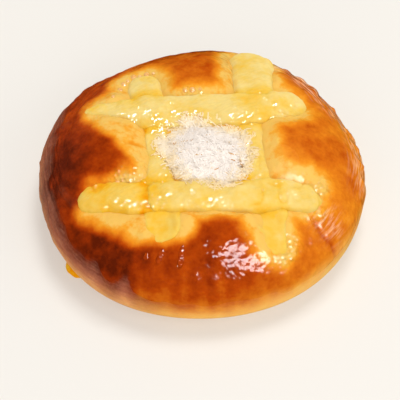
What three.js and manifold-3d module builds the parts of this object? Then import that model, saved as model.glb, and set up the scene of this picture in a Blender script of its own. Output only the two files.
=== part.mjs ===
// A brioche bun baked with custard: a round dough, piped custard ropes that cross on top like a
// noughts-and-crosses grid, a heap of grated coconut in the middle square, and a drip at the foot.
// Millimetres, +Z up, +Y to the back, origin at the middle of the flat base.
import * as THREE from "three";
import { mergeVertices } from "three/addons/utils/BufferGeometryUtils.js";
import Module from "manifold-3d";

const wasm = await Module();
wasm.setup();

// Bun
const BUN_RADIUS = 57.7;
const BUN_HEIGHT = 37.8; // crown of the dome, before the ropes press it down
const GIRTH_HEIGHT = 14; // height of the widest ring
const BASE_SHARE = 0.84; // radius of the flat base, as a share of the widest ring's
const DOME_FULLNESS = 2.7; // 2 is an ellipse, more is a squarer shoulder
const BUN_SEGMENTS = 84;
const DOME_RINGS = 27;
const FLANK_RINGS = 5;
// Gentle swells of the outline: lobes round the bun, height as a share of the radius, degrees to a peak.
const OUTLINE_SWELLS = [
  { lobes: 2, share: 0.003, peak: 40 },
  { lobes: 3, share: 0.0115, peak: 78 },
  { lobes: 4, share: 0.0135, peak: 66 },
  { lobes: 5, share: 0.007, peak: 7 },
];
// Pillows of dough that rise between the ropes and the rim, and the hollow under the heap.
const PILLOWS = [
  { x: -38, y: -4, reach: 15, rise: 1.6 },
  { x: 40, y: -1, reach: 16, rise: 1 },
  { x: -2, y: 38, reach: 15, rise: 1.8 },
  { x: 5, y: -41, reach: 13, rise: 2.4 },
  { x: 1, y: -4, reach: 11, rise: -4.5 },
];
// Torn crust that stands out in teeth on the right flank.
const CRAG_ANGLE = 17; // degrees from +X to the middle of the tear
const CRAG_SPREAD = 19; // degrees on each side of it
const CRAG_HEIGHT = 13;
const CRAG_REACH = 7; // up and down from that height
const CRAG_RISE = 1.7;
const CRAG_TEETH = 29;
const CRAG_SLANT = 0.55; // turns the teeth as they climb, in radians for each millimetre

// Custard ropes
const ROPE_WIDTH = 13;
const ROPE_HEIGHT = 6.6;
const ROPE_SQUARENESS = 0.75; // 1 is a round section, less is a squarer one
const ROPE_LIFT = 2.2; // from the floor of the trough to the rope's middle
const TROUGH_DEPTH = 6.6;
const TROUGH_FLOOR = 0.86; // half width of the flat floor, as a share of the rope's half width
const TROUGH_RUN = 5.5; // from the edge of that floor up to the pillow's top
const TROUGH_FADE = 0.6; // share of the dome's height over which troughs and pillows come in
const TROUGH_BLEND = 4; // how sharply troughs that cross keep to the deeper one
const CROSSING_RISE = 1.2; // hump of an upper rope where it crosses a lower one
const CROSSING_REACH = 7;
const ROPE_STEPS = 18;
const ROPE_SIDES = 12;
const ROPE_CAP_STEPS = 3;
// Each rope's line in plan and, at even steps along it, its widths as shares of ROPE_WIDTH, its heights as
// shares of ROPE_HEIGHT and how far it presses into the dough as shares of TROUGH_DEPTH. The lower ropes
// end in a full knob at the back, lie low between the upper ropes and run out flat at the front.
const LOWER_ROPES = [
  {
    name: "custard_rope_left",
    line: [[-19.8, 27], [-17.8, 16], [-15.9, 0], [-14, -20], [-12.8, -36]],
    widths: [1.02, 0.9, 0.78, 0.8, 1.1, 0.92],
    heights: [1, 0.7, 0.6, 0.6, 0.5, 0.42],
    presses: [1, 1, 1, 1, 0.8, 0.45],
  },
  {
    name: "custard_rope_right",
    line: [[17, 42.4], [17.4, 24], [17.2, 0], [19.6, -20], [24.8, -40.4]],
    widths: [1.26, 1.1, 0.8, 0.8, 1.2, 0.6],
    heights: [1, 0.9, 0.6, 0.6, 0.5, 0.4],
    presses: [1, 1, 1, 1, 0.8, 0.4],
  },
];
const UPPER_ROPES = [
  {
    name: "custard_rope_back",
    line: [[-39, 14.4], [-28, 14.5], [-10, 13.8], [12, 15.5], [30, 19.5]],
    widths: [0.35, 1.1, 1.15, 1.1, 1.05],
    heights: [0.6, 1, 1, 1, 1],
    presses: [0.4, 1, 1, 1, 1],
  },
  {
    name: "custard_rope_front_left",
    line: [[-36, -21], [-28, -22.3], [-18.6, -24.5]],
    widths: [0.95, 1.02, 1],
    heights: [0.9, 1, 1],
    presses: [0.9, 1, 1],
  },
  {
    name: "custard_rope_front",
    line: [[-16, -24.2], [3, -24.3], [14, -23.8], [34, -21]],
    widths: [0.95, 0.98, 1, 1],
    heights: [1, 1, 1, 0.9],
    presses: [1, 1, 1, 0.9],
  },
];

// Coconut heap
const HEAP_CENTRE = { x: -0.3, y: -4.7 };
const HEAP_HALF_LENGTH = 18;
const HEAP_HALF_WIDTH = 15;
const HEAP_FULLNESS = 2.6; // 2 is an ellipse, more is a flatter top
const HEAP_MIDDLE = 32.5; // height of the core's widest ring
const HEAP_RISE = 6.4; // from there to the core's top
const HEAP_SEGMENTS = 22;
const HEAP_RINGS = 8;
const SHRED_COUNT = 38;
const SHRED_LENGTH = 7;
const SHRED_WIDTH = 1.1;
const SHRED_THICKNESS = 0.7;
const SHRED_STEPS = 2;
const SHRED_BEND = 0.6; // drop of a shred's two ends
const SHRED_TILT = 0.3; // most that a shred leans out of the heap's face, in radians
const SHRED_PROUD = 0.25; // how far a shred's middle stands out of the core, as a share of its thickness
const SHRED_SPREAD = 1.02; // how far the shreds reach, as a share of the core
const SHRED_SEED = 7;
const GOLDEN_TURN = Math.PI * (3 - Math.sqrt(5));

// Drip of custard at the foot
const DRIP = { x: -44.2, y: -29.2, halfLength: 5, halfWidth: 3.4, height: 4.2, turn: 122 };
const DRIP_SEGMENTS = 12;
const DRIP_RINGS = 6;

const GAP = 0.3; // clearance between pieces that rest on each other
const FILM = 0.8; // least thickness, where a rope's end or the heap's edge runs out on the dough
const WELD = 1e-3; // vertices closer than this are one vertex
const SLOPE_STEP = 0.5; // each way from a point, to measure a slope there
const FACET_SLACK = 0.55; // how far a flat facet may stand off the curved form that it follows

const CRUST = new THREE.MeshStandardMaterial({ color: 0xb85c1c, roughness: 0.3, metalness: 0 });
const CUSTARD = new THREE.MeshStandardMaterial({ color: 0xf8ca5c, roughness: 0.3, metalness: 0 });
const COCONUT = new THREE.MeshStandardMaterial({ color: 0xf4ece2, roughness: 0.8, metalness: 0 });

const { clamp, smoothstep, degToRad, lerp, seededRandom } = THREE.MathUtils;

// Radius of the widest ring at an angle from +X.
function outlineRadius(angle) {
  let share = 1;
  for (const swell of OUTLINE_SWELLS) {
    share += swell.share * Math.cos(swell.lobes * (angle - degToRad(swell.peak)));
  }
  return BUN_RADIUS * share;
}

// Height of the plain dome at a share of the way from the axis to the widest ring.
function domeHeight(share) {
  const fall = Math.sqrt(Math.max(0, 1 - share ** DOME_FULLNESS));
  return GIRTH_HEIGHT + (BUN_HEIGHT - GIRTH_HEIGHT) * fall;
}

// Points of a rope's line in plan, evenly spaced.
function planPoints(rope) {
  const points = rope.line.map(([x, y]) => new THREE.Vector2(x, y));
  return new THREE.SplineCurve(points).getSpacedPoints(ROPE_STEPS);
}

// Nearest place on a line of points in plan: its distance, and its share of the line's length.
function nearestOnLine(x, y, points) {
  const place = new THREE.Vector2(x, y);
  let nearest = { distance: Infinity, share: 0 };
  for (let i = 1; i < points.length; i++) {
    const along = points[i].clone().sub(points[i - 1]);
    const step = clamp(place.clone().sub(points[i - 1]).dot(along) / along.lengthSq(), 0, 1);
    const distance = points[i - 1].clone().addScaledVector(along, step).distanceTo(place);
    if (distance < nearest.distance) {
      nearest = { distance, share: (i - 1 + step) / (points.length - 1) };
    }
  }
  return nearest;
}

// Value at a share of a rope's length, through the values stated at even steps along it.
function valueAt(values, share) {
  const place = share * (values.length - 1);
  const before = Math.min(Math.floor(place), values.length - 2);
  return lerp(values[before], values[before + 1], place - before);
}

const ROPES = [...LOWER_ROPES, ...UPPER_ROPES];
for (const rope of ROPES) {
  rope.points = planPoints(rope);
}

// How far the ropes press the dough down, easing up to the pillows beside them.
function troughDepth(x, y) {
  let sum = 0;
  for (const rope of ROPES) {
    const { distance, share } = nearestOnLine(x, y, rope.points);
    const press = valueAt(rope.presses, share);
    const floor = (TROUGH_FLOOR * ROPE_WIDTH * valueAt(rope.widths, share)) / 2;
    const beyond = clamp((distance - floor * press) / TROUGH_RUN, 0, 1);
    sum += (press * (1 - beyond) ** 2) ** TROUGH_BLEND;
  }
  return TROUGH_DEPTH * sum ** (1 / TROUGH_BLEND);
}

function pillowRise(x, y) {
  let rise = 0;
  for (const pillow of PILLOWS) {
    const away = Math.hypot(x - pillow.x, y - pillow.y) / pillow.reach;
    rise += pillow.rise * Math.exp(-(away ** 2));
  }
  return rise;
}

// Height of the dough at a place in plan, given the plain dome's height there.
function doughHeight(x, y, dome) {
  const aboveGirth = (dome - GIRTH_HEIGHT) / (BUN_HEIGHT - GIRTH_HEIGHT);
  const shift = pillowRise(x, y) - troughDepth(x, y);
  return dome + shift * smoothstep(aboveGirth, 0, TROUGH_FADE);
}

function doughTop(x, y) {
  const share = Math.hypot(x, y) / outlineRadius(Math.atan2(y, x));
  return doughHeight(x, y, domeHeight(Math.min(share, 1)));
}

// Lowest place for a piece that lies on the dough.
function seatHeight(x, y) {
  return doughTop(x, y) + GAP + FACET_SLACK;
}

// How far the torn crust stands out of the flank.
function cragRise(angle, height) {
  const across = 1 - ((angle - degToRad(CRAG_ANGLE)) / degToRad(CRAG_SPREAD)) ** 2;
  const upright = 1 - ((height - CRAG_HEIGHT) / CRAG_REACH) ** 2;
  if (across <= 0 || upright <= 0) {
    return 0;
  }
  const tooth = Math.abs(Math.sin(CRAG_TEETH * angle + CRAG_SLANT * height));
  return CRAG_RISE * tooth * Math.sqrt(across * upright);
}

// Half section of the plain bun, from the middle of the base round the girth to the crown.
function bunProfile() {
  const base = BUN_RADIUS * BASE_SHARE;
  const points = [new THREE.Vector2(0, 0), new THREE.Vector2(base / 2, 0), new THREE.Vector2(base, 0)];
  for (let i = 1; i < FLANK_RINGS; i++) {
    const turn = ((i / FLANK_RINGS) * Math.PI) / 2;
    const out = base + (BUN_RADIUS - base) * Math.sin(turn);
    points.push(new THREE.Vector2(out, GIRTH_HEIGHT * (1 - Math.cos(turn))));
  }
  const shoulder = [];
  for (let i = 0; i <= DOME_RINGS; i++) {
    const turn = ((i / DOME_RINGS) * Math.PI) / 2;
    const share = Math.cos(turn) ** (2 / DOME_FULLNESS);
    shoulder.push(new THREE.Vector2(BUN_RADIUS * share, domeHeight(share)));
  }
  const dome = new THREE.SplineCurve(shoulder).getSpacedPoints(DOME_RINGS);
  dome[DOME_RINGS].x = 0;
  return [...points, ...dome];
}

function bunGeometry() {
  const geometry = new THREE.LatheGeometry(bunProfile(), BUN_SEGMENTS).rotateX(Math.PI / 2);
  const place = geometry.getAttribute("position");
  for (let i = 0; i < place.count; i++) {
    const angle = Math.atan2(place.getY(i), place.getX(i));
    const z = place.getZ(i);
    const out = Math.hypot(place.getX(i), place.getY(i)) * (outlineRadius(angle) / BUN_RADIUS);
    const x = out * Math.cos(angle);
    const y = out * Math.sin(angle);
    const crag = out > 0 ? cragRise(angle, z) / out : 0;
    place.setXYZ(i, x * (1 + crag), y * (1 + crag), z > GIRTH_HEIGHT ? doughHeight(x, y, z) : z);
  }
  return geometry;
}

// Height of a rope's middle at a step along it: on the dough, and over the ropes that it crosses.
function ropeMiddle(rope, step, crossed) {
  const point = rope.points[step];
  let height = doughTop(point.x, point.y) + ROPE_LIFT * valueAt(rope.heights, step / ROPE_STEPS);
  for (const other of crossed) {
    const away = nearestOnLine(point.x, point.y, other.points).distance / CROSSING_REACH;
    height += CROSSING_RISE * Math.exp(-(away ** 2));
  }
  return height;
}

function squared(value) {
  return Math.sign(value) * Math.abs(value) ** ROPE_SQUARENESS;
}

// A round-ended rope laid along its line, with its underside draped on the dough.
function ropeGeometry(rope, crossed) {
  const middles = rope.points.map((p, i) => new THREE.Vector3(p.x, p.y, ropeMiddle(rope, i, crossed)));
  const curve = new THREE.CatmullRomCurve3(middles);
  const geometry = new THREE.CapsuleGeometry(1, ROPE_STEPS, ROPE_CAP_STEPS, ROPE_SIDES, ROPE_STEPS);
  const place = geometry.getAttribute("position");
  for (let i = 0; i < place.count; i++) {
    const along = place.getY(i) / ROPE_STEPS + 0.5;
    const share = clamp(along, 0, 1);
    const halfWidth = (ROPE_WIDTH * valueAt(rope.widths, share)) / 2;
    const halfHeight = (ROPE_HEIGHT * valueAt(rope.heights, share)) / 2;
    const pastEnd = (along - share) * ROPE_STEPS * halfWidth;
    const tangent = curve.getTangentAt(share);
    const side = new THREE.Vector3(tangent.y, -tangent.x, 0).normalize();
    const up = side.clone().cross(tangent);
    const point = curve.getPointAt(share);
    point.addScaledVector(tangent, pastEnd);
    point.addScaledVector(side, squared(place.getX(i)) * halfWidth);
    point.addScaledVector(up, squared(place.getZ(i)) * halfHeight);
    const film = (FILM * (1 + place.getZ(i))) / 2;
    point.z = Math.max(point.z, seatHeight(point.x, point.y) + film);
    place.setXYZ(i, point.x, point.y, point.z);
  }
  return geometry;
}

// Height of the bare core's top at a place in plan; its widest ring beyond its edge.
function heapTop(x, y) {
  const out = Math.hypot((x - HEAP_CENTRE.x) / HEAP_HALF_LENGTH, (y - HEAP_CENTRE.y) / HEAP_HALF_WIDTH);
  return HEAP_MIDDLE + HEAP_RISE * Math.sqrt(Math.max(0, 1 - out ** HEAP_FULLNESS));
}

function heapNormal(x, y) {
  const slopeX = (heapTop(x + SLOPE_STEP, y) - heapTop(x - SLOPE_STEP, y)) / (2 * SLOPE_STEP);
  const slopeY = (heapTop(x, y + SLOPE_STEP) - heapTop(x, y - SLOPE_STEP)) / (2 * SLOPE_STEP);
  return new THREE.Vector3(-slopeX, -slopeY, 1).normalize();
}

// The bare core: a low mound whose underside is draped on the dough.
function heapGeometry() {
  const geometry = new THREE.SphereGeometry(1, HEAP_SEGMENTS, HEAP_RINGS).rotateX(Math.PI / 2);
  const place = geometry.getAttribute("position");
  for (let i = 0; i < place.count; i++) {
    const x = HEAP_CENTRE.x + place.getX(i) * HEAP_HALF_LENGTH;
    const y = HEAP_CENTRE.y + place.getY(i) * HEAP_HALF_WIDTH;
    const z = place.getZ(i) > 0 ? heapTop(x, y) : HEAP_MIDDLE + place.getZ(i) * HEAP_RISE;
    const film = (FILM * (1 + place.getZ(i))) / 2;
    place.setXYZ(i, x, y, Math.max(z, seatHeight(x, y) + film));
  }
  return geometry;
}

// A thin strip bent downwards at both ends, lying in a frame of three axes at a point.
function shredGeometry(point, heading, across, up) {
  const geometry = new THREE.BoxGeometry(SHRED_LENGTH, SHRED_WIDTH, SHRED_THICKNESS, SHRED_STEPS, 1, 1);
  const place = geometry.getAttribute("position");
  for (let i = 0; i < place.count; i++) {
    const outward = place.getX(i) / (SHRED_LENGTH / 2);
    place.setZ(i, place.getZ(i) - SHRED_BEND * outward ** 2);
  }
  const frame = new THREE.Matrix4().makeBasis(heading, across, up).setPosition(point);
  return geometry.applyMatrix4(frame);
}

// Shreds spread evenly over the core by the golden angle, each turned and tilted at random.
function shredGeometries() {
  seededRandom(SHRED_SEED);
  const shreds = [];
  for (let i = 0; i < SHRED_COUNT; i++) {
    const out = SHRED_SPREAD * Math.sqrt((i + 0.5) / SHRED_COUNT);
    const x = HEAP_CENTRE.x + HEAP_HALF_LENGTH * out * Math.cos(i * GOLDEN_TURN);
    const y = HEAP_CENTRE.y + HEAP_HALF_WIDTH * out * Math.sin(i * GOLDEN_TURN);
    const up = heapNormal(x, y);
    const turn = seededRandom() * Math.PI;
    const heading = new THREE.Vector3(Math.cos(turn), Math.sin(turn), 0).projectOnPlane(up).normalize();
    const across = up.clone().cross(heading);
    const tilt = (seededRandom() * 2 - 1) * SHRED_TILT;
    heading.applyAxisAngle(across, tilt);
    up.applyAxisAngle(across, tilt);
    const point = new THREE.Vector3(x, y, heapTop(x, y)).addScaledVector(up, SHRED_THICKNESS * SHRED_PROUD);
    shreds.push(shredGeometry(point, heading, across, up));
  }
  return shreds;
}

// A flat-bottomed blob on the table, tucked in under the flank.
function dripGeometry() {
  const geometry = new THREE.SphereGeometry(1, DRIP_SEGMENTS, DRIP_RINGS).rotateX(Math.PI / 2);
  geometry.scale(DRIP.halfLength, DRIP.halfWidth, DRIP.height);
  geometry.rotateZ(degToRad(DRIP.turn)).translate(DRIP.x, DRIP.y, 0);
  const place = geometry.getAttribute("position");
  for (let i = 0; i < place.count; i++) {
    place.setZ(i, Math.max(place.getZ(i), 0));
  }
  return geometry;
}

// A closed geometry with its shared vertices merged.
function merged(geometry) {
  const bare = geometry.clone();
  bare.deleteAttribute("normal");
  bare.deleteAttribute("uv");
  return mergeVertices(bare, WELD);
}

function solidOf(geometry) {
  const joined = merged(geometry);
  const made = new wasm.Mesh({
    numProp: 3,
    vertProperties: joined.getAttribute("position").array,
    triVerts: new Uint32Array(joined.index.array),
  });
  return new wasm.Manifold(made);
}

// The same form, swollen by the gap that a neighbour keeps to it.
function swollen(geometry) {
  const joined = merged(geometry);
  joined.computeVertexNormals();
  const place = joined.getAttribute("position");
  const normal = joined.getAttribute("normal");
  for (let i = 0; i < place.count; i++) {
    const point = new THREE.Vector3().fromBufferAttribute(place, i);
    point.addScaledVector(new THREE.Vector3().fromBufferAttribute(normal, i), GAP);
    place.setXYZ(i, point.x, point.y, point.z);
  }
  return joined;
}

// The largest body of a solid, without the loose scraps that a cut leaves.
function largestBody(solid) {
  const bodies = solid.decompose();
  return bodies.reduce((a, b) => (b.volume() > a.volume() ? b : a));
}

// What is left of a form clear of its neighbours, as one body.
function fitted(form, keepOuts) {
  let solid = solidOf(form);
  for (const keepOut of keepOuts) {
    solid = solid.subtract(keepOut);
  }
  return largestBody(solid);
}

function meshOf(name, solid, material) {
  const cut = solid.getMesh();
  const geometry = new THREE.BufferGeometry();
  geometry.setAttribute("position", new THREE.BufferAttribute(cut.vertProperties, 3));
  geometry.setIndex(new THREE.BufferAttribute(cut.triVerts, 1));
  geometry.computeVertexNormals();
  const mesh = new THREE.Mesh(geometry, material);
  mesh.name = name;
  return mesh;
}

const bun = new THREE.Group();

const dough = bunGeometry();
bun.add(meshOf("bun", solidOf(dough), CRUST));
const keepOuts = [solidOf(swollen(dough))];

for (const rope of ROPES) {
  const form = ropeGeometry(rope, UPPER_ROPES.includes(rope) ? LOWER_ROPES : []);
  bun.add(meshOf(rope.name, fitted(form, keepOuts), CUSTARD));
  keepOuts.push(solidOf(swollen(form)).add(solidOf(form)));
}

let heap = fitted(heapGeometry(), keepOuts);
for (const form of shredGeometries()) {
  const shred = solidOf(form);
  if (keepOuts.every((keepOut) => keepOut.intersect(shred).isEmpty())) {
    heap = heap.add(shred);
  }
}
bun.add(meshOf("coconut_heap", largestBody(heap), COCONUT));
bun.add(meshOf("custard_drip", fitted(dripGeometry(), keepOuts), CUSTARD));

// The origin goes to the middle of the whole part's footprint.
const middle = new THREE.Box3().setFromObject(bun).getCenter(new THREE.Vector3());
bun.position.set(-middle.x, -middle.y, 0);

export default bun;
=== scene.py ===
"""Custard brioche bun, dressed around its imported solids: crust, piped custard, grated coconut and a drip.

Metres, +Z up, +Y to the back. The sizes below are in millimetres and become metres through MM.
"""
import math

import bmesh
import bpy
import numpy as np
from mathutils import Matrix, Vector
from mathutils.bvhtree import BVHTree


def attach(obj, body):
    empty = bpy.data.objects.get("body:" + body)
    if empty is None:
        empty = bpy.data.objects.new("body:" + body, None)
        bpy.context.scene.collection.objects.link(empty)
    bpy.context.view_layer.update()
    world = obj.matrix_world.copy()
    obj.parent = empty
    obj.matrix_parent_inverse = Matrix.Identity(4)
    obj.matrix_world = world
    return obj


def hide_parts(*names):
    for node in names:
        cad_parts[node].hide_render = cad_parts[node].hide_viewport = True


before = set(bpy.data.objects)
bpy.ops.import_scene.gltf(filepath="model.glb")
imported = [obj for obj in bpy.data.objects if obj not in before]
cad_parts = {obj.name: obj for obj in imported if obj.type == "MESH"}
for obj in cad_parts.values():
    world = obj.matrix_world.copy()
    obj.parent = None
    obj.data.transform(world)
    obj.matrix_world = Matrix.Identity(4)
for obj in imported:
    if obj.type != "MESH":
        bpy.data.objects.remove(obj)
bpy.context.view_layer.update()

MM = 0.001
MERGE = 1e-6
DOWN = Vector((0, 0, -1))

# Crust
BUN_LEVELS = 2
BUN_TOP = 37.8 * MM
BUN_RADIUS = 57.7 * MM
PALE_NEAR = 1.6 * MM  # dough this close to the custard stays pale
PALE_FAR = 8.2 * MM  # and is fully baked from here on
# Where the pale margin is wider or narrower: plan position, reach and added width in millimetres.
PALE_SHIFTS = [
    {"x": -28, "y": -38, "reach": 8, "wider": 4.5},
    {"x": -13, "y": -49, "reach": 8, "wider": -6.0},
    {"x": -24, "y": -3, "reach": 7, "wider": 4.5},
    {"x": -32, "y": 1, "reach": 7, "wider": 4.5},
    {"x": -42, "y": -12, "reach": 9, "wider": -4.0},
    {"x": -47, "y": -22, "reach": 8, "wider": -5.0},
    {"x": -47, "y": 14, "reach": 9, "wider": -5.0},
    {"x": 6, "y": -37, "reach": 7, "wider": 0.8},
    {"x": 14, "y": -38, "reach": 5, "wider": -0.3},
    {"x": -33, "y": -13, "reach": 5, "wider": -3.5},
    {"x": -6, "y": -40, "reach": 6, "wider": 1.0},
    {"x": 27, "y": -43, "reach": 8, "wider": 1.0},
    {"x": 30, "y": -2, "reach": 10, "wider": 2.0},
    {"x": 40, "y": 24, "reach": 9, "wider": -4.0},
    {"x": -31, "y": 27, "reach": 9, "wider": 2.0},
    {"x": 40, "y": -28, "reach": 8, "wider": -2.0},
]
JOINT = 5 * MM  # reach of the soft joint where custard and dough meet
# Warmer and cooler places of the crust: plan position and reach in millimetres, and heat added.
HEAT_BASE = 0.56
HEAT_SPOTS = [
    {"x": -46, "y": 0, "reach": 24, "heat": 0.26},
    {"x": -55, "y": -12, "reach": 16, "heat": 0.22},
    {"x": -34, "y": -44, "reach": 22, "heat": 0.4},
    {"x": 6, "y": -46, "reach": 17, "heat": 0.22},
    {"x": -40, "y": 34, "reach": 16, "heat": 0.12},
    {"x": 50, "y": 6, "reach": 24, "heat": -0.24},
    {"x": 42, "y": -32, "reach": 19, "heat": -0.21},
    {"x": 29, "y": -1, "reach": 3, "heat": 0.18},
    {"x": 46, "y": -1, "reach": 9, "heat": 0.16},
    {"x": 51, "y": -12, "reach": 4, "heat": 0.16},
    {"x": 44, "y": -32, "reach": 6, "heat": 0.12},
    {"x": 32, "y": -40, "reach": 8, "heat": 0.12},
    {"x": 36, "y": 0, "reach": 12, "heat": 0.06},
]
CRUST_COLOURS = [
    (0.0, (226, 181, 90)),
    (0.12, (226, 156, 48)),
    (0.28, (220, 132, 28)),
    (0.46, (203, 106, 20)),
    (0.66, (174, 67, 8)),
    (0.85, (136, 43, 6)),
    (1.0, (90, 26, 6)),
]
# Unglazed skin on the left, from just under the glaze to the foot.
# Its greyish tones and the light streaks along its wrinkles are a painted sheen.
BARE_SKIN_AND_SHEEN_COLOURS = [
    (0.0, (98, 48, 30)),
    (0.3, (148, 90, 68)),
    (0.6, (178, 114, 82)),
    (1.0, (220, 156, 108)),
]
# The pale foot's colour is the unbaked skin, lightened further as painted bounce light from the floor.
PALE_FOOT_AND_BOUNCE_COLOUR = (250, 196, 106)  # unglazed skin low on the right and at the front
# Pale streaks along the edge at the right back: dry scratches with painted sheen.
SCUFF_AND_SHEEN_COLOUR = (250, 206, 164)  # dry scratches along the edge at the right back
# Where the glaze stays wet and wrinkled: plan position and reach in millimetres.
WET_SPOTS = [
    {"x": -27, "y": -15, "reach": 6},
    {"x": -4, "y": 21, "reach": 5},
    {"x": 41, "y": -18, "reach": 4},
    {"x": 38, "y": -30, "reach": 6},
    {"x": 29, "y": -43, "reach": 5},
]
# Where the pale dough has dried, in the corner behind the front rope.
DRY_SPOT = {"x": 26, "y": -11, "reach": 8}
# Bubbles in the pale dough beside the custard: plan position and radius in millimetres, and their colours.
BUBBLES = [
    {"x": -24.8, "y": 32.9, "radius": 1.3},
    {"x": -22.6, "y": 33.2, "radius": 0.9},
    {"x": -20.2, "y": 34.0, "radius": 1.2},
    {"x": -17.8, "y": 33.8, "radius": 0.7},
    {"x": -28.2, "y": 28.8, "radius": 1.2},
    {"x": -26.9, "y": 30.9, "radius": 0.8},
    {"x": -29.4, "y": 25.6, "radius": 1.0},
    {"x": -31.8, "y": 20.6, "radius": 0.8},
    {"x": -6.2, "y": 22.0, "radius": 0.9},
    {"x": -3.6, "y": 22.2, "radius": 1.2},
    {"x": -0.9, "y": 22.6, "radius": 0.7},
]
BUBBLE_COLOURS = [(0.3, (222, 164, 92)), (0.7, (236, 192, 132))]
# A small tear at the inner edge of the left pillow.
TEAR = Vector((-24.2, -3.6)) * MM
TEAR_HALF = Vector((2.0, 1.1)) * MM
TEAR_DEPTH = 0.7 * MM
# A slanting crease at the front right, as a line in plan, shallower than the tear.
CREASE = [(37.1, -31.0), (40.3, -34.9), (44.9, -36.6)]
CREASE_HALF = 0.8 * MM
CREASE_SHARE = 0.7
# Froth of the glaze behind the crease, whose fine glints are painted as a pale patch.
FROTH_GLINTS_SPOT = {"x": 42.3, "y": -29.5, "reach": 4.5}

# Glaze: where its lower edge runs on the flank, and the runs of it that hang down there.
GLAZE_EDGE = 17 * MM
GLAZE_WAVE = 2.2 * MM
GLAZE_THICK = 0.35 * MM
GLAZE_LIP = 0.3 * MM  # how much thicker it is along that edge
GLAZE_LIP_UP = 0.9 * MM  # and how far above the edge
RUN_COUNT = 26
RUN_SEED = 11
RUN_SHIFT = 0.35  # in shares of the step from run to run
RUN_WIDTHS = (2.0, 4.5)  # in degrees
RUN_LENGTHS = (0.3, 2.0)  # in millimetres
# Where that edge runs higher: degrees from +X, half width in degrees and rise in millimetres. A tongue of
# glaze hangs between the last two.
GLAZE_RISES = [
    {"angle": 170, "half": 32, "rise": 11.0},
    {"angle": -143, "half": 22, "rise": 2.5},
    {"angle": -129, "half": 2.6, "rise": 2.5},
    {"angle": -117, "half": 2.6, "rise": 5.0},
]
# Raised folds of the crust, as lines in plan.
RIDGES = [
    [(-56.7, 3.3), (-53.4, 7.9), (-46.9, 11.6)],
    [(-48.9, -15.9), (-46.6, -20.0), (-42.2, -26.6)],
]
RIDGE_HALF = 1.0 * MM
RIDGE_RISE = 0.8 * MM
# Gentle swells of the crust: rise and size in millimetres, and seed.
SWELLS = [(0.35, 10, 7), (0.22, 4, 8), (0.12, 2, 9)]
# The scratched edge at the right and right back, with its painted sheen: where it fades in and out, in
# degrees from +X.
SCUFF_SHEEN_START = (-20, 0)
SCUFF_SHEEN_END = (50, 70)
# Thick beads of glaze on the front: plan position, half width, half length and rise in millimetres.
GLAZE_BEADS = [
    {"x": -18.9, "y": -46.6, "half": 1.0, "length": 1.4, "rise": 0.35},
    {"x": -14.2, "y": -47.1, "half": 1.3, "length": 2.7, "rise": 0.4},
    {"x": -7.2, "y": -47.8, "half": 1.2, "length": 3.9, "rise": 0.45},
]
BEAD_COLOURS = [(0.3, (132, 42, 6)), (0.7, (168, 62, 10))]

# Custard
# Each rope, with how deep its yellow is: 0 is cream and 1 is amber.
ROPES = {
    "custard_rope_left": 0.28,
    "custard_rope_right": 0.26,
    "custard_rope_back": 0.12,
    "custard_rope_front_left": 0.5,
    "custard_rope_front": 0.14,
}
LOWER_ROPES = ["custard_rope_left", "custard_rope_right"]
# How the creases stretch: they run across a rope.
LENGTHWISE = (0.6, 1.1, 0.6)
CROSSWISE = (1.1, 0.6, 0.6)
ROPE_VOXEL = 0.45 * MM
ROPE_SWELL = 0.5 * MM  # closes the clearance between the solids
ROPE_SINK = 1.8 * MM  # how far a rope's edge goes into the dough
ROPE_EASE = 36  # passes that round a rope's facets
ROPE_SEED = 100
# Where the film surely lies: plan position and reach in millimetres.
FILM_SPOTS = [
    {"x": -19, "y": 27, "reach": 6},
    {"x": 17, "y": 34, "reach": 8},
    {"x": -30, "y": -20, "reach": 7},
    {"x": 30, "y": -19, "reach": 7},
]
# How the film's facets lie: their slant in radians and their stretch.
FILM_SLANT = 0.6
FILM_STRETCH = (2.6, 1.0, 1.4)
DRIP_VOXEL = 0.35 * MM
DRIP_EASE = 8
CUSTARD_COLOURS = [
    (0.0, (224, 198, 122)),
    (0.35, (224, 187, 88)),
    (0.7, (226, 174, 46)),
    (1.0, (226, 148, 8)),
]

# Coconut
# The core under the loose coconut.
HEAP_MIDDLE = Vector((1.0, -5.6, 34.4)) * MM
HEAP_HALF = Vector((13.6, 12.4, 3.4)) * MM
# Long shreds and small flakes: length, width and thickness in millimetres, segments along each, how many
# lie in a square millimetre where the heap is thickest, and the seed that places them.
SHREDS = {"length": 4.4, "width": 0.36, "thick": 0.06, "steps": 4, "density": 6.0, "seed": 5}
FLAKES = {"length": 1.5, "width": 0.6, "thick": 0.06, "steps": 1, "density": 11.0, "seed": 8}
# The bends that a shred can have: how far its middle rises and how far it sways, in shares of its length.
BENDS = [(0.03, 0.1), (0.06, -0.24), (0.02, 0.34), (-0.03, 0.18)]
# How each shred leans and turns, in radians, and how its size varies: the least and the most.
LEANS = ((-0.16, -0.07, 0), (0.16, 0.07, 2 * math.pi))
SIZES = ((0.4, 0.6, 0.7), (1.3, 1.5, 1.3))
DUST_MIDDLE = Vector((-0.6, -6.0)) * MM
DUST_HALF = Vector((21.0, 18.0)) * MM
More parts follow.
